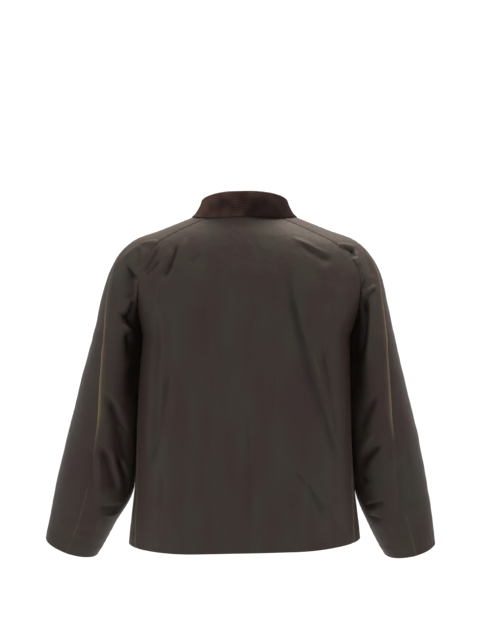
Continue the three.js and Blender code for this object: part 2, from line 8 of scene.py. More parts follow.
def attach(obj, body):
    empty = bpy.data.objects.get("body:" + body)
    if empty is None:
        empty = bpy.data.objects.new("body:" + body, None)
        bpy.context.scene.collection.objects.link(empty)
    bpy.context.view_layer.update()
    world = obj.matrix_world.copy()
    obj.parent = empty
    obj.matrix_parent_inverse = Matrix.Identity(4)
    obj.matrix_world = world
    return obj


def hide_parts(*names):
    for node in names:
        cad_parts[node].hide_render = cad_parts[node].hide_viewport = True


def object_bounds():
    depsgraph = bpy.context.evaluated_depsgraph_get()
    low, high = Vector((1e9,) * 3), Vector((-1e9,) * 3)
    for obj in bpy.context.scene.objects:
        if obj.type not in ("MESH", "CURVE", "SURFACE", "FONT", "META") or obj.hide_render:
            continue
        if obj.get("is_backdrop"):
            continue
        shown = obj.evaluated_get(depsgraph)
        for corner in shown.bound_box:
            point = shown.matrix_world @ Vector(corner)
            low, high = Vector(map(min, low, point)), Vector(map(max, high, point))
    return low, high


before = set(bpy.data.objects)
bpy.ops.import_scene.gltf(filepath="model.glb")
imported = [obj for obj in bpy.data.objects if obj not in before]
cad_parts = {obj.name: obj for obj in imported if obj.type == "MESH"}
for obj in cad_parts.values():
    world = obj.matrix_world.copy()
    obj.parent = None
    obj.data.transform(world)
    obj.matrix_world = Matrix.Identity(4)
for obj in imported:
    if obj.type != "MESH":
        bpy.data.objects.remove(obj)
cad_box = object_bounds()

# Sizes are in millimetres until a mesh is made. The front is towards -Y, the wearer's left towards +X, and
# the origin is at the nape.
MM = 0.001
CLOTH = 1.0  # waxed cotton
HEM_CLOTH = 2.4  # cloth turned up at hem and cuffs
HEM = 27  # how far it is turned up
CORDUROY = 2.0
PACE = 3.0  # between points of the cloth
BACK_COLUMNS, FRONT_COLUMNS = round(470 / PACE), round(290 / PACE)  # from the widest that each panel gets
SLEEVE_BACK_COLUMNS, SLEEVE_FRONT_COLUMNS = round(150 / PACE), round(260 / PACE)
OUTLINE_STEPS = 240
ACROSS = (1 - np.cos(np.linspace(0, math.pi, OUTLINE_STEPS + 1))) / 2  # shares, close at both ends
SEARCH_STEPS = 24  # halvings, to find the section that passes through a place
OPENING_HALF = 7  # from the centre front to the edge of each front
TURNING = 10  # the strip of each front that the zip's tape lies under
CREASE_GAP = 0.6  # between trunk and sleeve at the bottom of the armpit crease
EDGE_ROUND = 0.4  # how far the round edge of cloth stands out, as a share of its thickness
SMOOTH_ANGLE = 50
UP = np.array([0, 0, 1.0])


def table(names, rows):
    return dict(zip(names.split(), np.array(rows, float).T))


# Sections of the body from neck to hem. Down to the underarm one outline takes in trunk and sleeves;
# wide is its half width, right_in how much less that is on the right, and square how square it is. pinch
# nips it in at the armhole seam, over round_in of trunk and round_out of sleeve, until they part at the
# underarm. left_in is how much nearer the middle the left seams lie, vent how far the side seam lies behind
# the side, and skew how much higher the left side is than the middle.
NECK = 0
UNDERARM = 10
BODY = table(
    "back_z side_z front_z wide right_in back_y front_y square back_seam front_seam left_in pinch round_in"
    " round_out vent skew", [
    [0, 13, -86, 74, 0, 0, -150, 2.0, 52, 60, 0, 0, 40, 30, 0, 0],
    [-8, 5, -92, 100, 0, 4, -158, 2.05, 74, 72, 0, 0, 40, 30, 0, 0],
    [-20, -7, -100, 130, 0, 9, -165, 2.1, 100, 88, 0, 0, 40, 30, 0, 0],
    [-40, -25, -112, 175, 0, 18, -174, 2.2, 140, 114, 0, 0, 40, 30, 0, 0],
    [-66, -43, -127, 224, 0, 26, -183, 2.3, 181, 142, 5, 0, 44, 34, 0, 0],
    [-93, -64, -146, 252, 0, 32, -193, 2.4, 209, 167, 14, 0, 48, 38, 0, 0],
    [-121, -96, -165, 273, 0, 37, -201, 2.5, 229, 186, 20, 0.02, 52, 42, 0, 0],
    [-152, -138, -186, 289, 1.5, 41, -208, 2.6, 234, 198, 20, 0.12, 54, 46, 0, 0],
    [-190, -182, -210, 300, 3, 44, -215, 2.75, 231, 206, 15, 0.5, 54, 52, 0, 0],
    [-224, -221, -231, 308, 3.5, 46, -221, 2.9, 224, 213, 11, 0.85, 55, 60, 0, 0],
    [-252, -252, -252, 315, 3.5, 47, -225, 3.0, 218, 218, 7, 1, 56, 68, 0, 0],
    [-335, -335, -333, 323, 3, 48, -231, 3.0, 219, 219, 0.5, 1, 60, 68, 8, 0],
    [-435, -435, -430, 330, 2, 50, -236, 3.0, 221, 221, -1.5, 1, 70, 68, 26, 0],
    [-540, -538, -530, 336, 0, 52, -240, 3.0, 227, 227, 0, 1, 92, 68, 44, -1],
    [-615, -610, -600, 344, 0, 54, -242, 3.0, 235, 235, 0, 1, 120, 68, 56, -4],
    [-667, -659.5, -650, 350, 0, 56, -243, 3.0, 240, 240, 0, 1, 142, 68, 62, -8],
])

# Rings of each sleeve from underarm to cuff, with an outer and an inner point in the plane of the arm.
# tip is how much lower a ring's back is than its middle, seam_in how far in from its outer side the overarm
# seam lies, and round how far it has changed from the body's outline to an oval of its own.
SLEEVE = table(
    "left_outer left_outer_z right_outer right_outer_z left_inner right_inner inner_z mid_y half_depth tip"
    " square left_seam_in right_seam_in round", [
    [315, -252, 311.5, -252, 211.3, 218.3, -252, -89, 97, 0, 2.2, 30, 25, 0],
    [337, -325, 330.5, -325, 219.2, 220.3, -337, -97, 94, 2, 2.2, 45, 38, 0.6],
    [362, -418, 355, -418, 223, 221.3, -440, -109, 87, 4, 2.15, 62, 54, 1],
    [388, -518, 377.5, -518, 231.5, 230.5, -556, -121, 75, 6, 2.1, 68, 60, 1],
    [404.5, -592, 391.5, -594, 272, 260, -634, -126, 62, 8, 2.05, 63, 56, 1],
    [413, -636, 398.5, -644, 293.5, 280, -674, -129, 55, 9, 2, 55, 50, 1],
    [419, -667, 402, -677, 311, 297, -702, -131, 51, 9, 2, 49, 46, 1],
])
SHOULDER_SEAM = {  # how far in the overarm seam lies at each row of the body
    "left": np.array([0, 0, 0, 0, 1, 3, 6, 12, 19, 25, 30.0]),
    "right": np.array([0, 0, 0, 0, 1, 3, 6, 11, 16, 20, 25.0]),
}

# Collar from the nape (around 0) to the front (1): how high and how far out its fold lies over the neck
# seam, and where the fall's edge lies
COLLAR = table(
    "around high out edge_x edge_y", [
    [0, 51, -5, 0, 1],
    [0.1, 49, -4, 25, -1],
    [0.2, 43, 1, 50, -7],
    [0.3, 34.5, 6, 71, -16],
    [0.4, 25.5, 9, 88, -29],
    [0.5, 18, 9, 102, -50],
    [0.62, 14, 8, 108, -86],
    [0.8, 12, 7, 96, -134],
    [1, 9, 3, 46, -188],
])
COLLAR_FRONT = 8  # from the centre front to each end of the collar
COLLAR_STEPS = 62  # from the nape to each end
NECK_STEP = 0.02  # how far round the neck its direction is measured, to each side
STAND_POINTS, FOLD_POINTS, FALL_POINTS = 4, 12, 15
STAND_IN = 2.6  # how far inside the neck seam the stand's outer face lies
STAND_DOWN = 2.5  # how far the stand reaches down inside the neck seam
FOLD_RADIUS = 5
FALL_CLEAR = 1.4
FALL_BULGE = 4
LIFTS = 4  # times that the fall is lifted clear of the body, each nearer than the one before
RIB = 3.2  # from one rib of the corduroy to the next
RIB_HIGH = 0.7
RIB_POINTS = 5
RIB_EDGE = (0, 4)  # in from the fall's edge, where the ribs rise to their height
COLLAR_CRUMPLE = (0.8, 40)  # height and size
COLLAR_CRUMPLED = (20, 60)  # how far from its foot it is crumpled: none, fully
COLLAR_PAINTED_LIGHT, COLLAR_PAINTED_SHADE = 0.75, 0.25  # painted light on its left and painted shade on its right
COLLAR_ACROSS = (-40, 90)  # where it changes from right to left
SOFT_WEAR, RIB_WEAR_AND_SHADE = 0.7, 0.9  # how much lighter raised places and ribs are, and the second also paints shade between the ribs
RIB_MIDDLE = 0.6  # the share of a rib's height that is neither lighter nor darker

# Folds and creases, as soft strokes from one (x, z) to another. face is 1 on the back and -1 on the front.
# bow bends the stroke sideways, and depth is positive for a ridge and negative for a trough.
FOLD_COLUMNS = "face from_x from_z to_x to_z bow width depth"
BODY_FOLDS = table(FOLD_COLUMNS, [
    # Centre back
    [1, -5, -380, -13, -662, 2, 9, -2.0],
    [1, -60, -303, -60, -351, 0, 4, -1.4],
    [1, 80, -170, 80, -307, 3, 12, -1.6],
    [1, 60, -248, 58, -330, 0, 9, 1.1],
    # The long folds from the right shoulder blade to the hem
    [1, -84, -106, -208, -520, -14, 16, -7.6],
    [1, -134, -262, -196, -465, -4, 5, 3.4],
    [1, -152, -250, -200, -470, -4, 11, -5.4],
    [1, -176, -420, -212, -500, -2, 5, 2.4],
    [1, -99, -504, -158, -595, 5, 8, -3.0],
    [1, -158, -563, -198, -652, 0, 18, -3.0],
    [1, -120, -520, -150, -640, -4, 10, 2.2],
    # Right shoulder
    [1, -100, -45, -160, -78, 0, 7, 2.5],
    [1, -112, -57, -170, -92, 0, 7, -4],
    [1, -143, -103, -158, -185, 0, 18, -1.8],
    # Left side
    [1, 176, -189, 198, -465, 10, 12, -3.4],
    [1, 192, -229, 207, -465, 4, 9, 2.6],
    [1, 150, -305, 197, -510, 7, 16, -5.6],
    [1, 132, -330, 172, -520, 7, 14, 2.4],
    [1, 164, -500, 176, -640, 2, 12, -2.4],
    # Left shoulder
    [1, 174, -66, 204, -116, 2, 3.4, -4],
    [1, 168, -90, 199, -122, 0, 3.2, -3.6],
    [1, 134, -58, 162, -128, 3, 4, -5],
    [1, 118, -50, 134, -110, -3, 9, 2.2],
    [1, 146, -66, 170, -112, 3, 6, 1.6],
    [1, 90, -80, 105, -98, 0, 5, -1.6],
    [1, 162, -126, 178, -175, 0, 6, 1.8],
    [1, 176, -140, 186, -190, 0, 5, -1.4],
    # Front
    [-1, 96, -300, 130, -600, 8, 20, -4],
    [-1, -90, -320, -122, -610, -8, 20, -4],
    [-1, 160, -210, 120, -330, 6, 14, -4],
    [-1, -160, -210, -120, -330, -6, 14, -4],
    [-1, 170, -270, 110, -420, 10, 11, 3],
    [-1, -172, -280, -118, -430, -8, 11, 3],
    [-1, 60, -210, 52, -420, 0, 16, -2],
    [-1, -64, -240, -58, -470, 0, 16, -2],
    [-1, 150, -480, 170, -640, 0, 16, -2.5],
    [-1, -156, -500, -168, -645, 0, 16, -2.5],
])
SLEEVE_FOLDS = table(FOLD_COLUMNS, [
    # Top of the left sleeve
    [1, 211, -54, 178, -50, 0, 4, 2.6],
    [1, 246, -82, 212, -56, 0, 5, 2],
    [1, 214, -60, 213, -108, 0, 6, -2.4],
    # Bunched cloth behind the left armhole
    [1, 237, -98, 212, -126, -3, 4, -6],
    [1, 231, -112, 225, -172, 0, 11, -10],
    [1, 236, -166, 212, -172, 0, 6, 3],
    [1, 221, -176, 214, -210, 0, 10, -13],
    [1, 246, -198, 220, -206, 0, 10, -7],
    [1, 220, -208, 212, -244, 0, 8, -12],
    [1, 244, -217, 206, -256, 3, 4.5, 6],
    [1, 234, -240, 219, -282, 3, 10, -11],
    [1, 222, -276, 207, -292, 0, 4, 4],
    [1, 222, -290, 219, -366, 0, 8, -11],
    # Left overarm
    [1, 266, -110, 270, -200, 0, 6, 1.8],
    [1, 254, -120, 258, -190, 0, 7, -1.4],
    # Left elbow
    [1, 276, -362, 234, -515, 8, 14, -10],
    [1, 252, -420, 236, -486, 4, 6, 3],
    [1, 270, -470, 249, -556, 3, 7, 2.6],
    [1, 290, -468, 262, -566, 4, 9, -7],
    [1, 256, -490, 234, -575, 2, 9, -7],
    [1, 297, -474, 299, -576, 2, 9, 3],
    [1, 313, -474, 309, -560, 0, 8, -2.8],
    [1, 287, -613, 258, -613, 0, 5, 2.2],
    [1, 295, -594, 256, -598, 0, 9, -3.2],
    [1, 340, -643, 319, -646, 0, 7, -1.8],
    [1, 356, -645, 287, -613, 0, 12, 1.8],
    # Top of the right sleeve
    [1, -190, -55, -224, -61, 0, 4, 3],
    [1, -200, -63, -219, -70, 0, 3.4, -4.5],
    [1, -218, -68, -222, -82, 0, 3.4, -4.5],
    [1, -228, -70, -232, -100, 0, 5, 2.4],
    [1, -246, -76, -262, -120, 0, 7, -2],
    [1, -242, -128, -237, -148, 0, 4, -4],
    [1, -233, -160, -264, -140, 0, 4.5, 4.5],
    [1, -264, -146, -246, -162, 0, 5, -5],
    # The deep crease behind the right armhole
    [1, -243, -158, -226, -300, 4, 12, -14],
    [1, -224, -240, -221, -370, 0, 7, -10],
    [1, -262, -160, -246, -300, -4, 8, 3.4],
    # Right elbow
    [1, -266, -366, -236, -440, -4, 10, -5],
    [1, -262, -442, -234, -486, -3, 8, 4],
    [1, -276, -466, -240, -514, -4, 8, -6],
    [1, -236, -523, -250, -544, 0, 7, -4],
    [1, -238, -606, -287, -582, 3, 4.5, -4],
    [1, -248, -598, -274, -600, 0, 4.5, 2.6],
    [1, -256, -616, -282, -620, 0, 5, -2.4],
    [1, -307, -429, -323, -597, 3, 8, -2.8],
    [1, -296, -454, -309, -590, 2, 7, 2.2],
    [1, -325, -454, -342, -617, 2, 12, -2.2],
    # Front
    [-1, 262, -220, 300, -330, 6, 12, -4],
    [-1, -262, -220, -296, -330, -6, 12, -4],
    [-1, 236, -420, 300, -452, 5, 9, -5],
    [-1, -236, -410, -292, -446, -5, 9, -5],
    [-1, 240, -456, 316, -492, 6, 9, 4.4],
    [-1, -240, -452, -308, -480, -6, 9, 4.4],
    [-1, 246, -500, 322, -530, 4, 8, -4.4],
    [-1, -250, -492, -316, -520, -4, 8, -4.4],
    [-1, 300, -560, 352, -566, 3, 7, -2.4],
    [-1, -296, -566, -346, -574, -3, 7, -2.4],
])
STEEP_SIDE, SOFT_SIDE = 0.6, 1.25  # the widths of a fold's two sides, as shares of its width
START_WIDTH, WIDENS = 0.6, 0.8  # its width where it starts, and how much wider it ends, in the same shares
FADE = 0.22  # the share of a fold over which each end fades
CRUMPLES = ((1.6, 95), (0.35, 24))  # heights and sizes of the unevenness of all the cloth
CRUMPLE_OCTAVES = 2
CRUMPLE_SHAPE = (0.8, 2.1)  # how fast the octaves fade, and how much finer each is
OUTER_CRUMPLE = (1.1, 80)  # height and size of more of it on the outer side of the sleeves
OUTER_SIDE = (0.2, 0.8)  # how squarely a sleeve's cloth must face outwards to be crumpled: none, fully
FLATTER = (1, 1, 1.7)  # stretches the places of cloth, for crumples that are wider than high
FOLD_FACING = (0.3, 0.7)  # how squarely cloth must face the back or front to be folded: none, fully
CREASE_BLUR = 40  # passes of blurring that a fold is compared with, to find its ridges and troughs
RIDGE_RUBBED = 0.025  # how much lighter a ridge is for each millimetre
CREASE_PAINTED_SHADE = 0.2  # painted shade: how much darker a trough is painted for each millimetre
HIDDEN = (0.55, 0.95)  # how squarely a sleeve must face the trunk to get painted shade: none, fully
HIDDEN_END = (-440, -310)  # the height above which it does
SIDE_RUBBED = (30, 130)  # the height above the hem over which the side seams become less rubbed
OVERARM_RUBBED = (-480, -380)  # the height above which the overarm seams are rubbed light

# Rubbed cloth along the seams, as an amount, its place in from the edge and its width
SEAM_WEAR = (0.12, 1, 2.5)
OVERARM_WEAR = (0.1, 1, 2)
OVERARM_HIGH_WEAR = (0.8, 1, 2)
OVERARM_LAP_WEAR = (0.14, 7, 7)
SIDE_WEAR = (0.25, 1.5, 2)
SIDE_LOW_WEAR = (0.3, 1.5, 2)

# Seams: the upper cloth laps over the lower one
LAP = 10
LAP_HIGH = 0.7
LAP_START = (-0.8, 0.8)
LAP_END = (LAP - 2, LAP + 1.5)
TUCK = 5  # how far the lower cloth goes on under the upper one
TUCK_DEEP = 1.0
STITCH_IN = (2.2, 8.0)  # the two rows of stitches of a seam, in from its edge
STITCH = 3.3
STITCH_PACE = 4.4
STITCH_WIDE = 0.9
STITCH_HIGH = 0.5
STITCH_LOW = 0.3  # how deep its underside lies in the cloth
STITCH_END_LOW = 0.1
STITCH_THICK = (0.25, 0.75)  # the share of its length over which it is thick
STITCH_SINKS, STITCH_SINKS_WIDE = 0.3, 1.1  # how the cloth gives way under a row
HEM_HIGH = 0.5
HEM_END = (HEM - 1.5, HEM + 2)
HEM_STITCH = HEM - 1.5  # the row of stitches, up from the edge

# Puckers and hollows beside the stitches, as a height, their place in from the edge and their width
SEAM_PUCKER = (0.22, 0, 9)
SEAM_DIP = (0.5, 0, 2.5)
HEM_PUCKER = (0.2, HEM - 2, 9)
HEM_DIP = (0.45, HEM_STITCH, 1.6)
SEAM_WAVES = (2.1, 3, 37)  # the puckers' length, and how much and how slowly it drifts
HEM_WAVES = (2.4, 2, 41)

# Base colours, as linear light
REDDISH_WAX = (0.0238, 0.0132, 0.0124)
OLIVE_WAX = (0.0238, 0.0196, 0.0146)
RUBBED_WAX = (0.15, 0.108, 0.062)
# Painted shade: near black, for the deep creases and where a sleeve faces the trunk
PAINTED_SHADE_WAX = (0.0052, 0.0026, 0.0021)
DARK_PILE = (0.0135, 0.0080, 0.0078)
BROWN_PILE = (0.0240, 0.0130, 0.0120)
# Pile of worn ribs, also the painted light on the collar's left
RUBBED_AND_PAINTED_LIGHT_PILE = (0.085, 0.048, 0.040)
# Painted shade: near black, between the ribs and on the collar's right
PAINTED_SHADE_PILE = (0.0020, 0.0012, 0.0012)

# Zip
TAPE_DEPTH = 2.8  # from the front's outer face to the middle of the zip
TAPE_INNER = 2.2
TAPE_COLUMNS = (OPENING_HALF + TURNING, 12, 9, 6, 4, TAPE_INNER)  # from the centre front
TAPE_THICK = 0.9
TAPE_TOP = 12
TOOTH_PACE = 2.6
TOOTH = (3.4, 1.4, 3.0)  # across, along and through the zip
TOOTH_LAYERS = ((-1, 0.8), (-0.5, 1), (0.5, 1), (1, 0.8))  # heights and widths, as shares of the tooth's
TOOTH_OUT = 1.25  # from the centre front to the middle of a tooth
CHAIN_TOP = 33  # from the neck's edge to the first tooth

# Camera of the photograph
CAMERA_AT = (0.0094, 2.51, -0.209)  # metres
FOCAL_PIXELS = 1250
PHOTO_HIGH_PIXELS = 640
SENSOR = 36


def smoothstep(values, low, high):
    t = np.clip((values - low) / (high - low), 0, 1)
    return t * t * (3 - 2 * t)


def bell(values, width):
    return np.exp(-((values / width) ** 2))


def band(inward, amount, place, width):
    """A soft band of an amount, at a place in from an edge."""
    return amount * bell(inward - place, width)


def unit(vectors):
    return vectors / np.linalg.norm(vectors, axis=-1, keepdims=True)


def slopes(values):
    rise = np.diff(values)
    before, after = rise[:-1], rise[1:]
    same = before * after > 0
    inside = np.where(same, 2 * before * after / np.where(same, before + after, 1), 0)
    return np.concatenate([rise[:1], inside, rise[-1:]])


def along_table(columns):
    """A function that gives the section at a place between a table's rows, with no bulge past them."""
    slope = {name: slopes(values) for name, values in columns.items()}
    last = len(next(iter(columns.values()))) - 2

    def at(station):
        i = np.clip(np.floor(station).astype(int), 0, last)
        t = station - i
        ease = t * t * (3 - 2 * t)
        return {
            name: values[i]
            + (values[i + 1] - values[i]) * ease
            + slope[name][i] * t * (1 - t) ** 2
            - slope[name][i + 1] * t * t * (1 - t)
            for name, values in columns.items()
        }

    return at


body_at = along_table(BODY)
sleeve_at = along_table(SLEEVE)
collar_at = along_table(COLLAR)
shoulder_seam_at = along_table(SHOULDER_SEAM)


def side_of(hand):
    return "left" if hand > 0 else "right"


def body_on(station, hand):
    section = body_at(station)
    if hand < 0:
        return {**section, "wide": section["wide"] - section["right_in"]}
    return {**section, **{seam: section[seam] - section["left_in"] for seam in ("back_seam", "front_seam")}}


def stations(columns, *tracks):
    """Places in a table about a pace apart, where tracks are pairs of columns that its rows run along."""
    lines = [np.stack([columns[name] for name in track], axis=1) for track in tracks]
    last = len(lines[0]) - 1
    places = []
    for i in range(last):
        longest = max(math.dist(line[i], line[i + 1]) for line in lines)
        count = max(1, round(longest / PACE))
        places += [i + step / count for step in range(count)]
    return np.array(places + [last], float)


def mid_y(section):
    return (section["back_y"] + section["front_y"]) / 2


def half_deep(section):
    return (section["back_y"] - section["front_y"]) / 2


def nip(section, dx):
    """How deeply the section is nipped in, at dx outside the armhole seam."""
    off = np.abs(dx) / np.where(dx < 0, section["round_in"], section["round_out"])
    return np.where(off < 1, 1 - np.sqrt(np.clip(1 - (1 - off) ** 2, 0, 1)), 0)


def seam_of(section, face):
    return section["back_seam"] if face > 0 else section["front_seam"]


def body_line(section, x, face, hand):
    """The section's outline at distances x from the middle, on its back or its front."""
    out = x / section["wide"]
    share = np.maximum(0, 1 - np.abs(out) ** section["square"]) ** (1 / section["square"])
    nipped = share * (1 - section["pinch"] * nip(section, x - seam_of(section, face)))
    y = mid_y(section) + face * half_deep(section) * nipped
    end_z = section["back_z"] if face > 0 else section["front_z"]
    z = section["side_z"] + (end_z - section["side_z"]) * share**2 + section["skew"] * hand * out
    return np.stack([hand * x, y, z], axis=-1)


def trunk_half(section, face, hand):
    seam = seam_of(section, face) - section["pinch"] * CREASE_GAP / 2
    return body_line(section, seam * np.sin(np.linspace(0, math.pi / 2, OUTLINE_STEPS + 1)), face, hand)


def shoulder_half(section, face, hand):
    seam = seam_of(section, face) + section["pinch"] * CREASE_GAP / 2
    return body_line(section, seam + (section["wide"] - seam) * ACROSS, face, hand)


def lengths(line):
    return np.concatenate([[0], np.cumsum(np.linalg.norm(np.diff(line, axis=0), axis=1))])


def points_at(places, sums, line):
    """Points, or other values in threes, at places along a line, where sums are its lengths so far."""
    return np.stack([np.interp(places, sums, line[:, k]) for k in range(3)], axis=-1)


def spread(line, start, end, columns):
    """Points spread evenly between two lengths along a line."""
    return points_at(np.linspace(start, end, columns + 1), lengths(line), line)


def length_at_x(line, x):
    return np.interp(x, np.abs(line[:, 0]), lengths(line))


BODY_STATIONS = stations(BODY, ("back_y", "back_z"), ("front_y", "front_z"), ("wide", "side_z"))
SLEEVE_STATIONS = stations(SLEEVE, ("left_outer", "left_outer_z"), ("left_inner", "inner_z"))


def back_grid():
    """The back, from the right seam across to the left one."""
    rows = []
    for station in BODY_STATIONS:
        right, left = (trunk_half(body_on(station, hand), 1, hand) for hand in (-1, 1))
        line = np.concatenate([right[::-1], left[1:]])
        edge = body_at(station)["vent"]
        rows.append(spread(line, edge, lengths(line)[-1] - edge, BACK_COLUMNS))
    return np.array(rows)


def front_grid(hand):
    """A front, from the armhole or side seam to the opening."""
    rows = []
    for station in BODY_STATIONS:
        section = body_on(station, hand)
        from_centre = trunk_half(section, -1, hand)
        line, start = from_centre[::-1], 0
        if station > UNDERARM:
            side = trunk_half(section, 1, hand)
            line = np.concatenate([side[:-1], line])
            start = lengths(side)[-1] - section["vent"]
        end = lengths(line)[-1] - length_at_x(from_centre, OPENING_HALF)
        rows.append(spread(line, start, end, FRONT_COLUMNS))
    return np.array(rows)


def underarm_depths(hand):
    """How far the body's section stands out over an arm at the underarm."""
    section = body_on(UNDERARM, hand)
    return shoulder_half(section, 1, hand)[:, 1] - mid_y(section)


def sleeve_half(station, face, hand):
    """Half a ring of a sleeve below the underarm, from its inner to its outer side."""
    ring = sleeve_at(station)
    side = side_of(hand)
    outer = np.array([ring[side + "_outer"], ring[side + "_outer_z"]])
    inner = np.array([ring[side + "_inner"], ring["inner_z"]])
    own = (1 - np.abs(2 * ACROSS - 1) ** ring["square"]) ** (1 / ring["square"])
    upper = underarm_depths(hand)
    depth = face * (upper + (ring["half_depth"] * own - upper) * ring["round"])
    place = inner + (outer - inner) * ACROSS[:, None]
    z = place[:, 1] - ring["tip"] * depth / ring["half_depth"]
    return np.stack([hand * place[:, 0], ring["mid_y"] + depth, z], axis=1)


def sleeve_rows(hand):
    """Rows of a sleeve: its back half, its front half and how far out its overarm seam is."""
    for station in BODY_STATIONS[BODY_STATIONS < UNDERARM]:
        section = body_on(station, hand)
        back, front = (shoulder_half(section, face, hand) for face in (1, -1))
        yield back, front, section["wide"] - shoulder_seam_at(station)[side_of(hand)]
    for station in SLEEVE_STATIONS:
        back, front = (sleeve_half(station, face, hand) for face in (1, -1))
        yield back, front, abs(back[-1, 0]) - sleeve_at(station)[side_of(hand) + "_seam_in"]


def sleeve_grids(hand):
    """The back half of a sleeve, and its front half from the overarm seam round to the underarm seam."""
    backs, fronts = [], []
    for back, front, seam_x in sleeve_rows(hand):
        seam = length_at_x(back, seam_x)
        line = np.concatenate([back, front[::-1][1:]])
        backs.append(spread(back, 0, seam, SLEEVE_BACK_COLUMNS))
        fronts.append(spread(line, seam, lengths(line)[-1], SLEEVE_FRONT_COLUMNS))
    return np.array(backs), np.array(fronts)


def body_height(x, y):
    """Height of the body's cloth at a place seen from above: the section whose outline passes there."""
    above = np.full(np.shape(x), float(NECK))
    below = np.full(np.shape(x), float(UNDERARM))
    for _ in range(SEARCH_STEPS):
        middle = (above + below) / 2
        section = body_at(middle)
        share = np.abs(y - mid_y(section)) / half_deep(section)
        reach = (np.abs(x) / section["wide"]) ** section["square"] + share ** section["square"]
        above = np.where(reach > 1, middle, above)
        below = np.where(reach > 1, below, middle)
    section = body_at(above)
    share = np.abs(y - mid_y(section)) / half_deep(section)
    end_z = np.where(y > mid_y(section), section["back_z"], section["front_z"])
    return section["side_z"] + (end_z - section["side_z"]) * np.minimum(1, share) ** 2


def body_normal(x, y):
    slope_x = (body_height(x + 1, y) - body_height(x - 1, y)) / 2
    slope_y = (body_height(x, y + 1) - body_height(x, y - 1)) / 2
    return unit(np.stack([-slope_x, -slope_y, np.ones_like(slope_x)], axis=-1))


def lift_clear(points):
    """Moves points of the collar's fall outwards until its underside is clear of the body."""
    for _ in range(LIFTS):
        x, y, z = np.moveaxis(points, -1, 0)
        normal = body_normal(x, y)
        height = (z - body_height(x, y)) * normal[..., 2]
        points = points + normal * np.maximum(0, CORDUROY + FALL_CLEAR - height)[..., None]
    return points


def neck_points(around, hand):
    section = {**body_at(NECK), "back_seam": BODY["wide"][NECK], "front_seam": BODY["wide"][NECK]}
    line = np.concatenate([trunk_half(section, 1, hand), trunk_half(section, -1, hand)[::-1][1:]])
    sums = lengths(line)
    return points_at((sums[-1] - COLLAR_FRONT) * np.clip(around, 0, 1), sums, line)


def collar_lines(hand):
    """Lines up the stand, over the fold and down the fall, from the nape to the front."""
    around = np.linspace(0, 1, COLLAR_STEPS + 1)
    shape = collar_at(np.interp(around, COLLAR["around"], np.arange(len(COLLAR["around"]))))
    along = neck_points(around + NECK_STEP, hand) - neck_points(around - NECK_STEP, hand)
    outward = np.stack([-along[:, 1] * hand, along[:, 0] * hand, np.zeros(len(around))], axis=1)
    outward[0] = (0, 1, 0)
    outward = unit(outward)
    foot = neck_points(around, hand) - outward * STAND_IN - UP * STAND_DOWN
    high = STAND_DOWN + shape["high"] - FOLD_RADIUS
    top = foot + outward * shape["out"][:, None] + UP * high[:, None]
    centre = top + outward * FOLD_RADIUS
    stand = [foot + (top - foot) * t for t in np.linspace(0, 1, STAND_POINTS)]
    fold = [
        centre + FOLD_RADIUS * (UP * math.sin(math.pi * t) - outward * math.cos(math.pi * t))
        for t in np.linspace(0, 1, FOLD_POINTS)[1:-1]
    ]
    start = centre + outward * FOLD_RADIUS
    edge_x, edge_y = hand * shape["edge_x"], shape["edge_y"]
    edge = lift_clear(np.stack([edge_x, edge_y, body_height(edge_x, edge_y)], axis=1))
    puff = body_normal(edge[:, 0], edge[:, 1]) * FALL_BULGE
    fall = [
        lift_clear(start + (edge - start) * t + puff * math.sin(math.pi * t))
        for t in np.linspace(0, 1, FALL_POINTS)
    ]
    return np.stack([*stand, *fold, *fall], axis=1)


def collar_grid():
    right, left = (collar_lines(hand) for hand in (-1, 1))
    lines = np.concatenate([right[::-1], left[1:]])
    longest = max(lengths(line)[-1] for line in lines)
    points = round(longest / RIB * RIB_POINTS)
    return np.array([spread(line, 0, lengths(line)[-1], points) for line in lines])


def normals_of(grid, turn):
    across = np.gradient(grid, axis=1)
    down = np.gradient(grid, axis=0)
    return unit(np.cross(down, across) * turn)


def fold_height(grid, normals, folds):
    """How far the folds raise or sink each point."""
    height = np.zeros(grid.shape[:2])
    for i in range(len(folds["face"])):
        fold = {name: values[i] for name, values in folds.items()}
        dx, dz = fold["to_x"] - fold["from_x"], fold["to_z"] - fold["from_z"]
        long = math.hypot(dx, dz)
        px, pz = grid[..., 0] - fold["from_x"], grid[..., 2] - fold["from_z"]
        along = (px * dx + pz * dz) / long
        share = np.clip(along / long, 0, 1)
        off = (px * dz - pz * dx) / long - 4 * fold["bow"] * share * (1 - share)
        width = fold["width"] * (START_WIDTH + WIDENS * share * (2 - share))
        side = bell(off, width * np.where(off > 0, STEEP_SIDE, SOFT_SIDE))
        fade = (-fold["width"], long * FADE)
        ends = smoothstep(along, *fade) * smoothstep(long - along, *fade)
        facing = smoothstep(normals[..., 1] * fold["face"], *FOLD_FACING)
        height += facing * ends * fold["depth"] * side
    return height


def crumple(grid, high, size):
    """Gentle unevenness of the cloth, up and down by about its height."""
    places = [Vector(point) / size for point in grid.reshape(-1, 3)]
    values = [noise.fractal(place, *CRUMPLE_SHAPE, CRUMPLE_OCTAVES) for place in places]
    return high * np.array(values).reshape(grid.shape[:2])


def fold_and_crumple(grid, normals, folds):
    """How far a panel's folds and crumples raise or sink each point."""
    height = fold_height(grid, normals, folds)
    facing = smoothstep(np.abs(normals[..., 1]), *FOLD_FACING)
    height += facing * sum(crumple(grid, *shape) for shape in CRUMPLES)
    if folds is SLEEVE_FOLDS:
        outer = smoothstep(normals[..., 0] * np.sign(grid[..., 0]), *OUTER_SIDE)
        height += outer * crumple(grid * FLATTER, *OUTER_CRUMPLE)
    return height


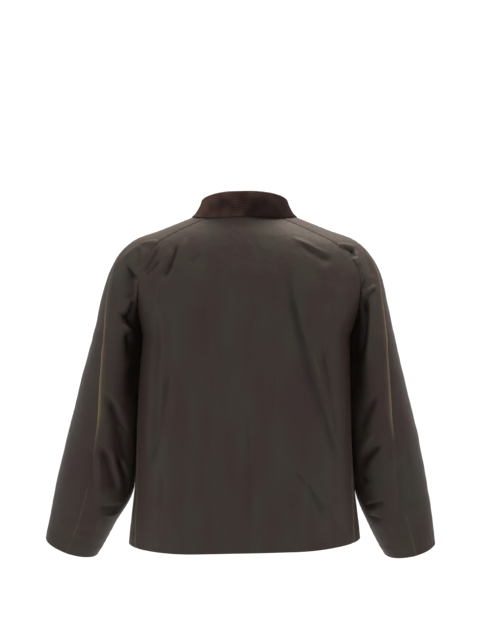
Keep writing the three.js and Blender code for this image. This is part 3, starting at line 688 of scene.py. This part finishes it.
def blurred(values, times):
    """Values blurred down and then across a grid, which each pass turns over and back."""
    for _ in range(2 * times):
        padded = np.pad(values, ((1, 1), (0, 0)), mode="edge")
        values = ((padded[:-2] + 2 * values + padded[2:]) / 4).T
    return values


def across_lengths(grid):
    step = np.linalg.norm(np.diff(grid, axis=1), axis=2)
    return np.concatenate([np.zeros((len(grid), 1)), np.cumsum(step, axis=1)], axis=1)


def down_lengths(grid):
    step = np.linalg.norm(np.diff(grid, axis=0), axis=2)
    return np.concatenate([np.zeros((1, grid.shape[1])), np.cumsum(step, axis=0)], axis=0)


def waves(along, pace, drift, drift_pace):
    """Small waves from -1 to 1, whose length drifts."""
    return np.sin(along / pace + drift * np.sin(along / drift_pace))


def seam_relief(inward, along, upper):
    """The relief of a sewn edge: a lap with two rows of stitches, or the cloth that dips beside one."""
    pucker = waves(along, *SEAM_WAVES) * band(inward, *SEAM_PUCKER)
    if not upper:
        return pucker - band(inward, *SEAM_DIP)
    lap = LAP_HIGH * (1 - smoothstep(inward, *LAP_END)) * smoothstep(inward, *LAP_START)
    return pucker + lap - sum(band(inward, STITCH_SINKS, place, STITCH_SINKS_WIDE) for place in STITCH_IN)


def hem_relief(up, across):
    """The turned-up edge of hem and cuffs."""
    turned = HEM_HIGH * (1 - smoothstep(up, *HEM_END))
    return turned - band(up, *HEM_DIP) + waves(across, *HEM_WAVES) * band(up, *HEM_PUCKER)


def seam_wear_and_shade(grid, normals, up, seams, overarm):
    """How worn the cloth is along its seams, and the painted shade where a sleeve faces the trunk."""
    worn_and_shaded = np.zeros(grid.shape[:2])
    for inward, kind in seams:
        if kind is not None:
            worn_and_shaded += band(inward, *SEAM_WEAR)
    (from_left, left), (from_right, _) = seams
    if overarm:
        rubbed_and_painted_light = smoothstep(grid[..., 2], *OVERARM_RUBBED)
        worn_and_shaded += band(from_right, *OVERARM_WEAR)
        worn_and_shaded += rubbed_and_painted_light * (band(from_right, *OVERARM_HIGH_WEAR) + band(from_right, *OVERARM_LAP_WEAR))
        # Painted shade on the high part of a sleeve that faces the trunk
        to_trunk = -normals[..., 0] * np.sign(grid[..., 0])
        worn_and_shaded -= smoothstep(to_trunk, *HIDDEN) * smoothstep(grid[..., 2], *HIDDEN_END)
    elif left == "upper":
        low = 1 - smoothstep(up, *SIDE_RUBBED)
        worn_and_shaded += band(from_left, *SIDE_WEAR) + low * band(from_left, *SIDE_LOW_WEAR)
    return worn_and_shaded


def tucked(grid, normals, thickness, wear_and_painted_shading, left, right):
    """A panel's arrays, with a column more where its cloth is the lower one and goes on under the upper."""
    for kind, edge, before in ((left, 0, 1), (right, -1, -2)):
        if kind == "lower":
            way = unit(grid[:, edge] - grid[:, before])
            under = grid[:, edge] + way * TUCK - normals[:, edge] * TUCK_DEEP
            at = 0 if edge == 0 else grid.shape[1]
            grid = np.insert(grid, at, under, axis=1)
            normals, thickness, wear_and_painted_shading = (
                np.insert(values, at, values[:, edge], axis=1) for values in (normals, thickness, wear_and_painted_shading)
            )
    return grid, normals, thickness, wear_and_painted_shading


def border(rows, columns):
    """The places of a grid's border, in order round it, each with its way out of the grid."""
    places = [(0, c, -1, 0) for c in range(columns)]
    places += [(r, columns - 1, 0, 1) for r in range(rows)]
    places += [(rows - 1, c, 1, 0) for c in reversed(range(columns))]
    places += [(r, 0, 0, -1) for r in reversed(range(rows))]
    ring = {}
    for r, c, down, across in places:
        before = ring.get((r, c), (0, 0))
        ring[r, c] = (before[0] + down, before[1] + across)
    return ring


def shell_faces(rows, columns, around, turn):
    """Faces of the outer and the inner cloth, and of the edge between them."""
    count = rows * columns
    index = np.arange(count).reshape(rows, columns)
    corners = [index[:-1, :-1], index[1:, :-1], index[1:, 1:], index[:-1, 1:]]
    quads = np.stack(corners, axis=-1).reshape(-1, 4)
    outer = quads if turn > 0 else quads[:, ::-1]
    faces = [*outer.tolist(), *(outer[:, ::-1] + count).tolist()]
    for k, a in enumerate(around):
        after = (k + 1) % len(around)
        b, edge_a, edge_b = around[after], 2 * count + k, 2 * count + after
        sides = [(b, a, edge_a, edge_b), (edge_b, edge_a, a + count, b + count)]
        faces += [face if turn < 0 else face[::-1] for face in sides]
    return faces


def shell(name, grid, normals, thickness, wear_and_painted_shading, turn):
    """A thin closed shell of cloth under the grid, with round edges, its flat places, its worn places and
    its painted light and shade.
    """
    rows, columns = grid.shape[:2]
    inner = grid - normals * thickness[..., None]
    ring = border(rows, columns)
    down, across = np.gradient(grid, axis=0), np.gradient(grid, axis=1)
    edge_points = []
    for (r, c), (way_down, way_across) in ring.items():
        way = unit(way_down * down[r, c] + way_across * across[r, c])
        middle = (grid[r, c] + inner[r, c]) / 2
        edge_points.append(middle + way * thickness[r, c] * EDGE_ROUND)
    around = [r * columns + c for r, c in ring]
    points = np.concatenate([grid.reshape(-1, 3), inner.reshape(-1, 3), np.array(edge_points)])
    piece = new_mesh(name, points, shell_faces(rows, columns, around, turn))
    flat = np.stack([across_lengths(grid), -down_lengths(grid)], axis=-1).reshape(-1, 2) * MM
    flat = np.concatenate([flat, flat, flat[around]])
    loops = np.empty(len(piece.data.loops), int)
    piece.data.loops.foreach_get("vertex_index", loops)
    piece.data.uv_layers.new(name="flat").data.foreach_set("uv", flat[loops].ravel())
    worn_and_shaded = wear_and_painted_shading.ravel()
    worn_and_shaded = np.concatenate([worn_and_shaded, worn_and_shaded, worn_and_shaded[around]])
    # The attribute holds real rubbing together with painted light and shade
    piece.data.attributes.new("wear_and_painted_shading", "FLOAT", "POINT").data.foreach_set("value", worn_and_shaded)
    return piece


def new_mesh(name, points, faces):
    mesh = bpy.data.meshes.new(name)
    mesh.from_pydata([tuple(p) for p in np.array(points) * MM], [], faces)
    mesh.update()
    piece = bpy.data.objects.new(name, mesh)
    bpy.context.collection.objects.link(piece)
    bpy.ops.object.select_all(action="DESELECT")
    bpy.context.view_layer.objects.active = piece
    piece.select_set(True)
    bpy.ops.object.shade_smooth_by_angle(angle=math.radians(SMOOTH_ANGLE))
    return piece


def declare(piece, material, node=None):
    piece.data.materials.append(material)
    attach(piece, "jacket")
    if node:
        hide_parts(node)


def declare_sheet(piece, grid):
    wide = across_lengths(grid)[:, -1].max() * MM
    long = down_lengths(grid)[-1].max() * MM


stitch_lines = []


def sewn_panel(part, side, grid, turn, folds, material, left=None, right=None, overarm=False):
    """A panel of waxed cotton. left and right say whether its cloth is the upper or the lower one at the
    seam on its first and last column, or None where it has no seam. overarm is for the back of a sleeve,
    worn light at its last seam and painted in shade beside the trunk."""
    normals = normals_of(grid, turn)
    height = fold_and_crumple(grid, normals, folds)
    across, down = across_lengths(grid), down_lengths(grid)
    up = down[-1] - down
    seams = ((across, left), (across[:, -1:] - across, right))
    relief = hem_relief(up, across)
    for inward, kind in seams:
        if kind is not None:
            relief += seam_relief(inward, down, kind == "upper")
    folded = grid + normals * (height + relief)[..., None]
    sharp = height - blurred(height, CREASE_BLUR)
    # Ridges are worn lighter, and troughs get painted shade
    rubbed_and_shaded = np.where(sharp > 0, RIDGE_RUBBED, CREASE_PAINTED_SHADE) * sharp
    wear_and_painted_shading = np.clip(rubbed_and_shaded + seam_wear_and_shade(grid, normals, up, seams, overarm), -1, 1)
    thickness = CLOTH + (HEM_CLOTH - CLOTH) * (1 - smoothstep(up, HEM - 1, HEM + 1))
    piece = shell(part + "_cloth" + side, *tucked(folded, normals, thickness, wear_and_painted_shading, left, right), turn)
    declare(piece, material, part + side)
    declare_sheet(piece, grid)
    fine = normals_of(folded, turn)
    for inward, kind in seams:
        if kind == "upper":
            for place in STITCH_IN:
                stitch_lines.append(line_at(folded, fine, inward, place, axis=1))
    stitch_lines.append(line_at(folded, fine, up, HEM_STITCH, axis=0))


def line_at(grid, normals, measure, place, axis):
    """The line on a grid where a measure has a value, with the cloth's normals along it."""
    if axis == 0:
        grid, normals, measure = (np.swapaxes(a, 0, 1) for a in (grid, normals, measure))
    points, ways = [], []
    for row, ways_row, values in zip(grid, normals, measure):
        if values.min() > place or values.max() < place:
            continue
        order = np.argsort(values)
        points.append(points_at(place, values[order], row[order]))
        ways.append(points_at(place, values[order], ways_row[order]))
    return np.array(points), np.array(ways)


def stitches(name, lines, material):
    """Short stitches of thread along lines on the cloth, as one piece."""
    points, faces = [], []
    for line, ways in lines:
        sums = lengths(line)
        for start in np.arange(STITCH_PACE / 2, sums[-1] - STITCH_PACE, STITCH_PACE):
            ends = [points_at(start + along, sums, line) for along in (0, STITCH)]
            up = unit(points_at(start + STITCH / 2, sums, ways))
            way = ends[1] - ends[0]
            side = unit(np.cross(way, up)) * STITCH_WIDE / 2
            first = len(points)
            points.append(ends[0] - up * STITCH_END_LOW)
            for share in STITCH_THICK:
                middle = ends[0] + way * share
                top, bottom = middle + up * STITCH_HIGH, middle - up * STITCH_LOW
                points += [middle - side, top, middle + side, bottom]
            points.append(ends[1] - up * STITCH_END_LOW)
            for k in range(4):
                after = (k + 1) % 4
                faces.append((first, first + 1 + k, first + 1 + after))
                faces.append((first + 1 + k, first + 5 + k, first + 5 + after, first + 1 + after))
                faces.append((first + 9, first + 5 + after, first + 5 + k))
    declare(new_mesh(name, points, faces), material)


def corduroy_collar(material):
    grid = collar_grid()
    normals = normals_of(grid, 1)
    across = across_lengths(grid)
    rib = np.abs(np.sin(across * math.pi / RIB))
    soft = crumple(grid, *COLLAR_CRUMPLE)
    edge = smoothstep(across[:, -1:] - across, *RIB_EDGE)
    height = RIB_HIGH * rib * edge + soft * smoothstep(across, *COLLAR_CRUMPLED) - RIB_HIGH
    raised = grid + normals * height[..., None]
    # Painted light on the collar's left and painted shade on its right
    rubbed_and_painted_light = COLLAR_PAINTED_LIGHT * smoothstep(grid[..., 0], *COLLAR_ACROSS) - COLLAR_PAINTED_SHADE
    wear_and_painted_shading = np.clip(rubbed_and_painted_light + SOFT_WEAR * soft + RIB_WEAR_AND_SHADE * (rib - RIB_MIDDLE) * edge, -1, 1)
    piece = shell("corduroy_collar", raised, normals, np.full(grid.shape[:2], CORDUROY), wear_and_painted_shading, 1)
    declare(piece, material, "collar")
    declare_sheet(piece, grid)


def node_tree(name):
    material = bpy.data.materials.new(name)
    material.use_nodes = True
    nodes = material.node_tree.nodes
    return material, nodes, material.node_tree.links, nodes["Principled BSDF"]


def settings(node, values):
    for name, value in values.items():
        node.inputs[name].default_value = value


def wear_and_painted_shading_of(nodes):
    worn_and_shaded = nodes.new("ShaderNodeAttribute")
    worn_and_shaded.attribute_name = "wear_and_painted_shading"
    return worn_and_shaded.outputs["Fac"]


def blend(nodes, links, colour, other, factor, low, high):
    """Mixes another colour into one, where the factor goes from low to high."""
    share = nodes.new("ShaderNodeMapRange")
    settings(share, {"From Min": low, "From Max": high})
    links.new(factor, share.inputs["Value"])
    mix = nodes.new("ShaderNodeMix")
    mix.data_type = "RGBA"
    settings(mix, {"B": (*other, 1)})
    links.new(share.outputs["Result"], mix.inputs["Factor"])
    links.new(colour, mix.inputs["A"])
    return mix.outputs["Result"]


def noise_texture(nodes, links, vector, scale, detail=4.0):
    texture = nodes.new("ShaderNodeTexNoise")
    settings(texture, {"Scale": scale, "Detail": detail})
    links.new(vector, texture.inputs["Vector"])
    return texture.outputs["Fac"]


def fine_relief(nodes, links, height, metres, under=None):
    """The normal of a fine relief, on top of the one under it."""
    bump = nodes.new("ShaderNodeBump")
    settings(bump, {"Strength": 1, "Distance": metres})
    links.new(height, bump.inputs["Height"])
    if under:
        links.new(under, bump.inputs["Normal"])
    return bump.outputs["Normal"]


def ramp(nodes, links, factor, stops):
    tone = nodes.new("ShaderNodeValToRGB")
    for element, (position, colour) in zip(tone.color_ramp.elements, stops):
        element.position = position
        element.color = (*colour, 1)
    links.new(factor, tone.inputs["Fac"])
    return tone.outputs["Color"]


def waxed_cotton():
    """Dark brown waxed cotton: wax mottled in soft upright streaks, tan where it is worn, with painted
    shade near black in the deep creases and where a sleeve faces the trunk, and a fine plain weave."""
    material, nodes, links, skin = node_tree("waxed cotton")
    place = nodes.new("ShaderNodeTexCoord").outputs
    streaks = nodes.new("ShaderNodeMapping")
    settings(streaks, {"Scale": (1, 1, 0.3)})
    links.new(place["Object"], streaks.inputs["Vector"])
    mottle = noise_texture(nodes, links, streaks.outputs["Vector"], scale=22)
    cloth = ramp(nodes, links, mottle, [(0.38, REDDISH_WAX), (0.62, OLIVE_WAX)])
    worn_and_shaded = wear_and_painted_shading_of(nodes)
    rubbed_and_painted_light = blend(nodes, links, cloth, RUBBED_WAX, worn_and_shaded, low=0.05, high=1)
    # Painted shade: near black where the attribute is below zero, in deep creases and beside the trunk
    rubbed_and_shaded = blend(nodes, links, rubbed_and_painted_light, PAINTED_SHADE_WAX, worn_and_shaded, low=-0.1, high=-1)
    links.new(rubbed_and_shaded, skin.inputs["Base Color"])
    weave = nodes.new("ShaderNodeTexChecker")
    settings(weave, {"Scale": 1400})
    links.new(place["UV"], weave.inputs["Vector"])
    both = nodes.new("ShaderNodeMath")
    both.operation = "MULTIPLY_ADD"
    settings(both, {1: 0.25})  # the weave's share beside the grain
    links.new(weave.outputs["Fac"], both.inputs[0])
    links.new(noise_texture(nodes, links, place["Object"], scale=260), both.inputs[2])
    crinkle = noise_texture(nodes, links, place["Object"], scale=48, detail=5.0)
    crinkled = fine_relief(nodes, links, crinkle, metres=0.0010)
    woven = fine_relief(nodes, links, both.outputs["Value"], metres=0.0002, under=crinkled)
    links.new(woven, skin.inputs["Normal"])
    rough = nodes.new("ShaderNodeMapRange")
    settings(rough, {"To Min": 0.5, "To Max": 0.62})
    links.new(mottle, rough.inputs["Value"])
    links.new(rough.outputs["Result"], skin.inputs["Roughness"])
    settings(skin, {"Specular IOR Level": 0.17, "Sheen Weight": 0.035})
    settings(skin, {"Sheen Roughness": 0.35, "Sheen Tint": (1, 0.8, 0.62, 1)})
    return material


def corduroy():
    """Dark brown corduroy, its ribs worn lighter, with painted shade between them and on its right and
    painted light on its left.
    """
    material, nodes, links, skin = node_tree("corduroy")
    place = nodes.new("ShaderNodeTexCoord").outputs
    mottle = noise_texture(nodes, links, place["Object"], scale=26)
    pile = ramp(nodes, links, mottle, [(0.36, DARK_PILE), (0.66, BROWN_PILE)])
    worn_and_shaded = wear_and_painted_shading_of(nodes)
    # Worn ribs, and painted light on the collar's left
    ribs_and_painted_light = blend(nodes, links, pile, RUBBED_AND_PAINTED_LIGHT_PILE, worn_and_shaded, low=0, high=1)
    # Painted shade between the ribs and on the collar's right
    with_painted_shade = blend(nodes, links, ribs_and_painted_light, PAINTED_SHADE_PILE, worn_and_shaded, low=0, high=-1)
    links.new(with_painted_shade, skin.inputs["Base Color"])
    settings(skin, {"Roughness": 0.9, "Specular IOR Level": 0.04, "Sheen Weight": 0.03})
    settings(skin, {"Sheen Roughness": 0.5, "Sheen Tint": (1, 0.7, 0.6, 1)})
    return material


def plain(name, colour, rough, metal=0.0, specular=0.3):
    """One colour with a fine uneven tone."""
    material, nodes, links, skin = node_tree(name)
    place = nodes.new("ShaderNodeTexCoord").outputs
    mottle = noise_texture(nodes, links, place["Object"], scale=400)
    darker = [0.7 * value for value in colour]
    links.new(ramp(nodes, links, mottle, [(0.3, darker), (0.7, colour)]), skin.inputs["Base Color"])
    settings(skin, {"Roughness": rough, "Metallic": metal, "Specular IOR Level": specular})
    return material


def zip_tape(side, hand, grid, ways, material):
    """The woven tape of half the zip, under the front's edge, and its grid."""
    normals = normals_of(grid, -hand)
    from_centre = across_lengths(grid)[:, -1:] - across_lengths(grid)
    rows = []
    for r in np.flatnonzero(lengths(grid[:, -1]) > TAPE_TOP):
        row = []
        for out in TAPE_COLUMNS:
            inward = max(0, out - OPENING_HALF)
            way = normals[r, -1 - round(inward / PACE)] if inward else ways[r]
            point = points_at(inward, from_centre[r, ::-1], grid[r, ::-1])
            point -= way * (TAPE_DEPTH - TAPE_THICK / 2)
            if not inward:
                point[0] = hand * out
            row.append(point)
        rows.append(row)
    tape_grid = np.array(rows)
    thickness, wear_and_painted_shading = (np.full(tape_grid.shape[:2], value) for value in (TAPE_THICK, 0.0))
    tape = shell("zip_tape" + side, tape_grid, normals_of(tape_grid, -hand), thickness, wear_and_painted_shading, -hand)
    declare(tape, material, "zip" + side)
    return tape, tape_grid


def zip_teeth(side, hand, edge, ways, material):
    """The row of teeth of half the zip."""
    points, faces = [], []
    wide, long, thick = TOOTH
    sums = lengths(edge)
    offset = 0 if hand > 0 else TOOTH_PACE / 2
    for place in np.arange(CHAIN_TOP, sums[-1] - TOOTH_PACE, TOOTH_PACE) + offset:
        at, ahead = (points_at(place + step, sums, edge) for step in (0, 1))
        up = points_at(place, sums, ways)
        down = unit((ahead - at) * np.array([0, 1, 1]))
        centre = at - up * TAPE_DEPTH
        centre[0] = hand * TOOTH_OUT
        first = len(points)
        for z, shrink in TOOTH_LAYERS:
            for x, y in ((-1, -1), (1, -1), (1, 1), (-1, 1)):
                point = centre + up * z * thick / 2 + down * y * long / 2 * shrink
                point[0] += hand * x * wide / 2 * shrink
                points.append(point)
        faces.append((first + 3, first + 2, first + 1, first))
        faces.append(tuple(first + 12 + k for k in range(4)))
        for layer in range(3):
            for k in range(4):
                a, b = first + 4 * layer + k, first + 4 * layer + (k + 1) % 4
                faces.append((a, b, b + 4, a + 4))
    teeth = new_mesh("zip_teeth" + side, points, faces)
    outwards(teeth)
    declare(teeth, material)
    return teeth


def zip_half(side, hand, grid, tape_material, tooth_material):
    """Half of the zip, where ways are the front's normals at its edge with no lean to a side."""
    ways = unit(normals_of(grid, -hand)[:, -1] * np.array([0, 1, 1]))
    tape, tape_grid = zip_tape(side, hand, grid, ways, tape_material)
    teeth = zip_teeth(side, hand, grid[:, -1], ways, tooth_material)
    declare_sheet(tape, tape_grid)


def outwards(piece):
    bpy.context.view_layer.objects.active = piece
    bpy.ops.object.mode_set(mode="EDIT")
    bpy.ops.mesh.select_all(action="SELECT")
    bpy.ops.mesh.normals_make_consistent(inside=False)
    bpy.ops.object.mode_set(mode="OBJECT")


def build_jacket():
    cotton = waxed_cotton()
    thread = plain("waxed thread", (0.045, 0.034, 0.024), 0.7)
    brass = plain("antique brass", (0.20, 0.13, 0.07), 0.42, metal=1.0, specular=0.5)
    tape = plain("zip tape", (0.02, 0.016, 0.013), 0.85)
    sewn_panel("back", "", back_grid(), -1, BODY_FOLDS, cotton, left="lower", right="lower")
    for side, hand in (("_left", 1), ("_right", -1)):
        front = front_grid(hand)
        sewn_panel("front", side, front, -hand, BODY_FOLDS, cotton, left="upper")
        backs, fronts = sleeve_grids(hand)
        sewn_panel("sleeve_back", side, backs, -hand, SLEEVE_FOLDS, cotton,
                   left="upper", right="upper", overarm=True)
        sewn_panel("sleeve_front", side, fronts, -hand, SLEEVE_FOLDS, cotton, left="lower", right="lower")
        zip_half(side, hand, front, tape, brass)
    corduroy_collar(corduroy())
    stitches("stitching", stitch_lines, thread)
    for node in ("zip_slider", "zip_pull"):
        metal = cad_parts[node]
        metal.data.materials.clear()
        metal.data.materials.append(brass)


def studio():
    """A white floor far below, a white room round it, and soft lights from above and behind."""
    world = bpy.data.worlds.new("white room")
    world.use_nodes = True
    settings(world.node_tree.nodes["Background"], {"Color": (1, 1, 1, 1), "Strength": 1.08})
    bpy.context.scene.world = world
    bpy.ops.mesh.primitive_circle_add(vertices=96, radius=14, fill_type="NGON", location=(0, 0, -1.5))
    floor = bpy.context.object
    floor.name = "floor"
    material, _, _, paint = node_tree("pale floor")
    settings(paint, {"Base Color": (0.95, 0.95, 0.95, 1), "Roughness": 1, "Specular IOR Level": 0})
    floor.data.materials.append(material)
    floor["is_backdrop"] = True
    warm, pale = (1, 0.88, 0.76), (1, 0.95, 0.9)
    soft_box(place=(-0.3, -0.35, 1.5), target=(-0.05, -0.1, -0.1), size=(1.4, 0.8), watts=78, colour=warm)
    soft_box(place=(2.0, 1.6, 0.6), target=(0, 0, -0.3), size=(1.2, 1.6), watts=12, colour=pale)


def soft_box(place, target, size, watts, colour):
    bpy.ops.object.light_add(type="AREA", location=place)
    light = bpy.context.object
    light.data.shape = "RECTANGLE"
    light.data.size, light.data.size_y = size
    light.data.energy = watts
    light.data.color = colour
    light.rotation_euler = (Vector(place) - Vector(target)).to_track_quat("Z", "Y").to_euler()


def photo_camera():
    bpy.ops.object.camera_add(location=CAMERA_AT, rotation=(math.pi / 2, 0, math.pi))
    camera = bpy.context.object
    camera.data.sensor_fit = "VERTICAL"
    camera.data.sensor_height = SENSOR
    camera.data.lens = FOCAL_PIXELS / PHOTO_HIGH_PIXELS * SENSOR
    bpy.context.scene.camera = camera


build_jacket()
studio()
photo_camera()
bpy.context.scene.view_settings.view_transform = "Standard"
boxes = {"cad": cad_box, "visual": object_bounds()}
{name: [list(corner) for corner in box] for name, box in boxes.items()}
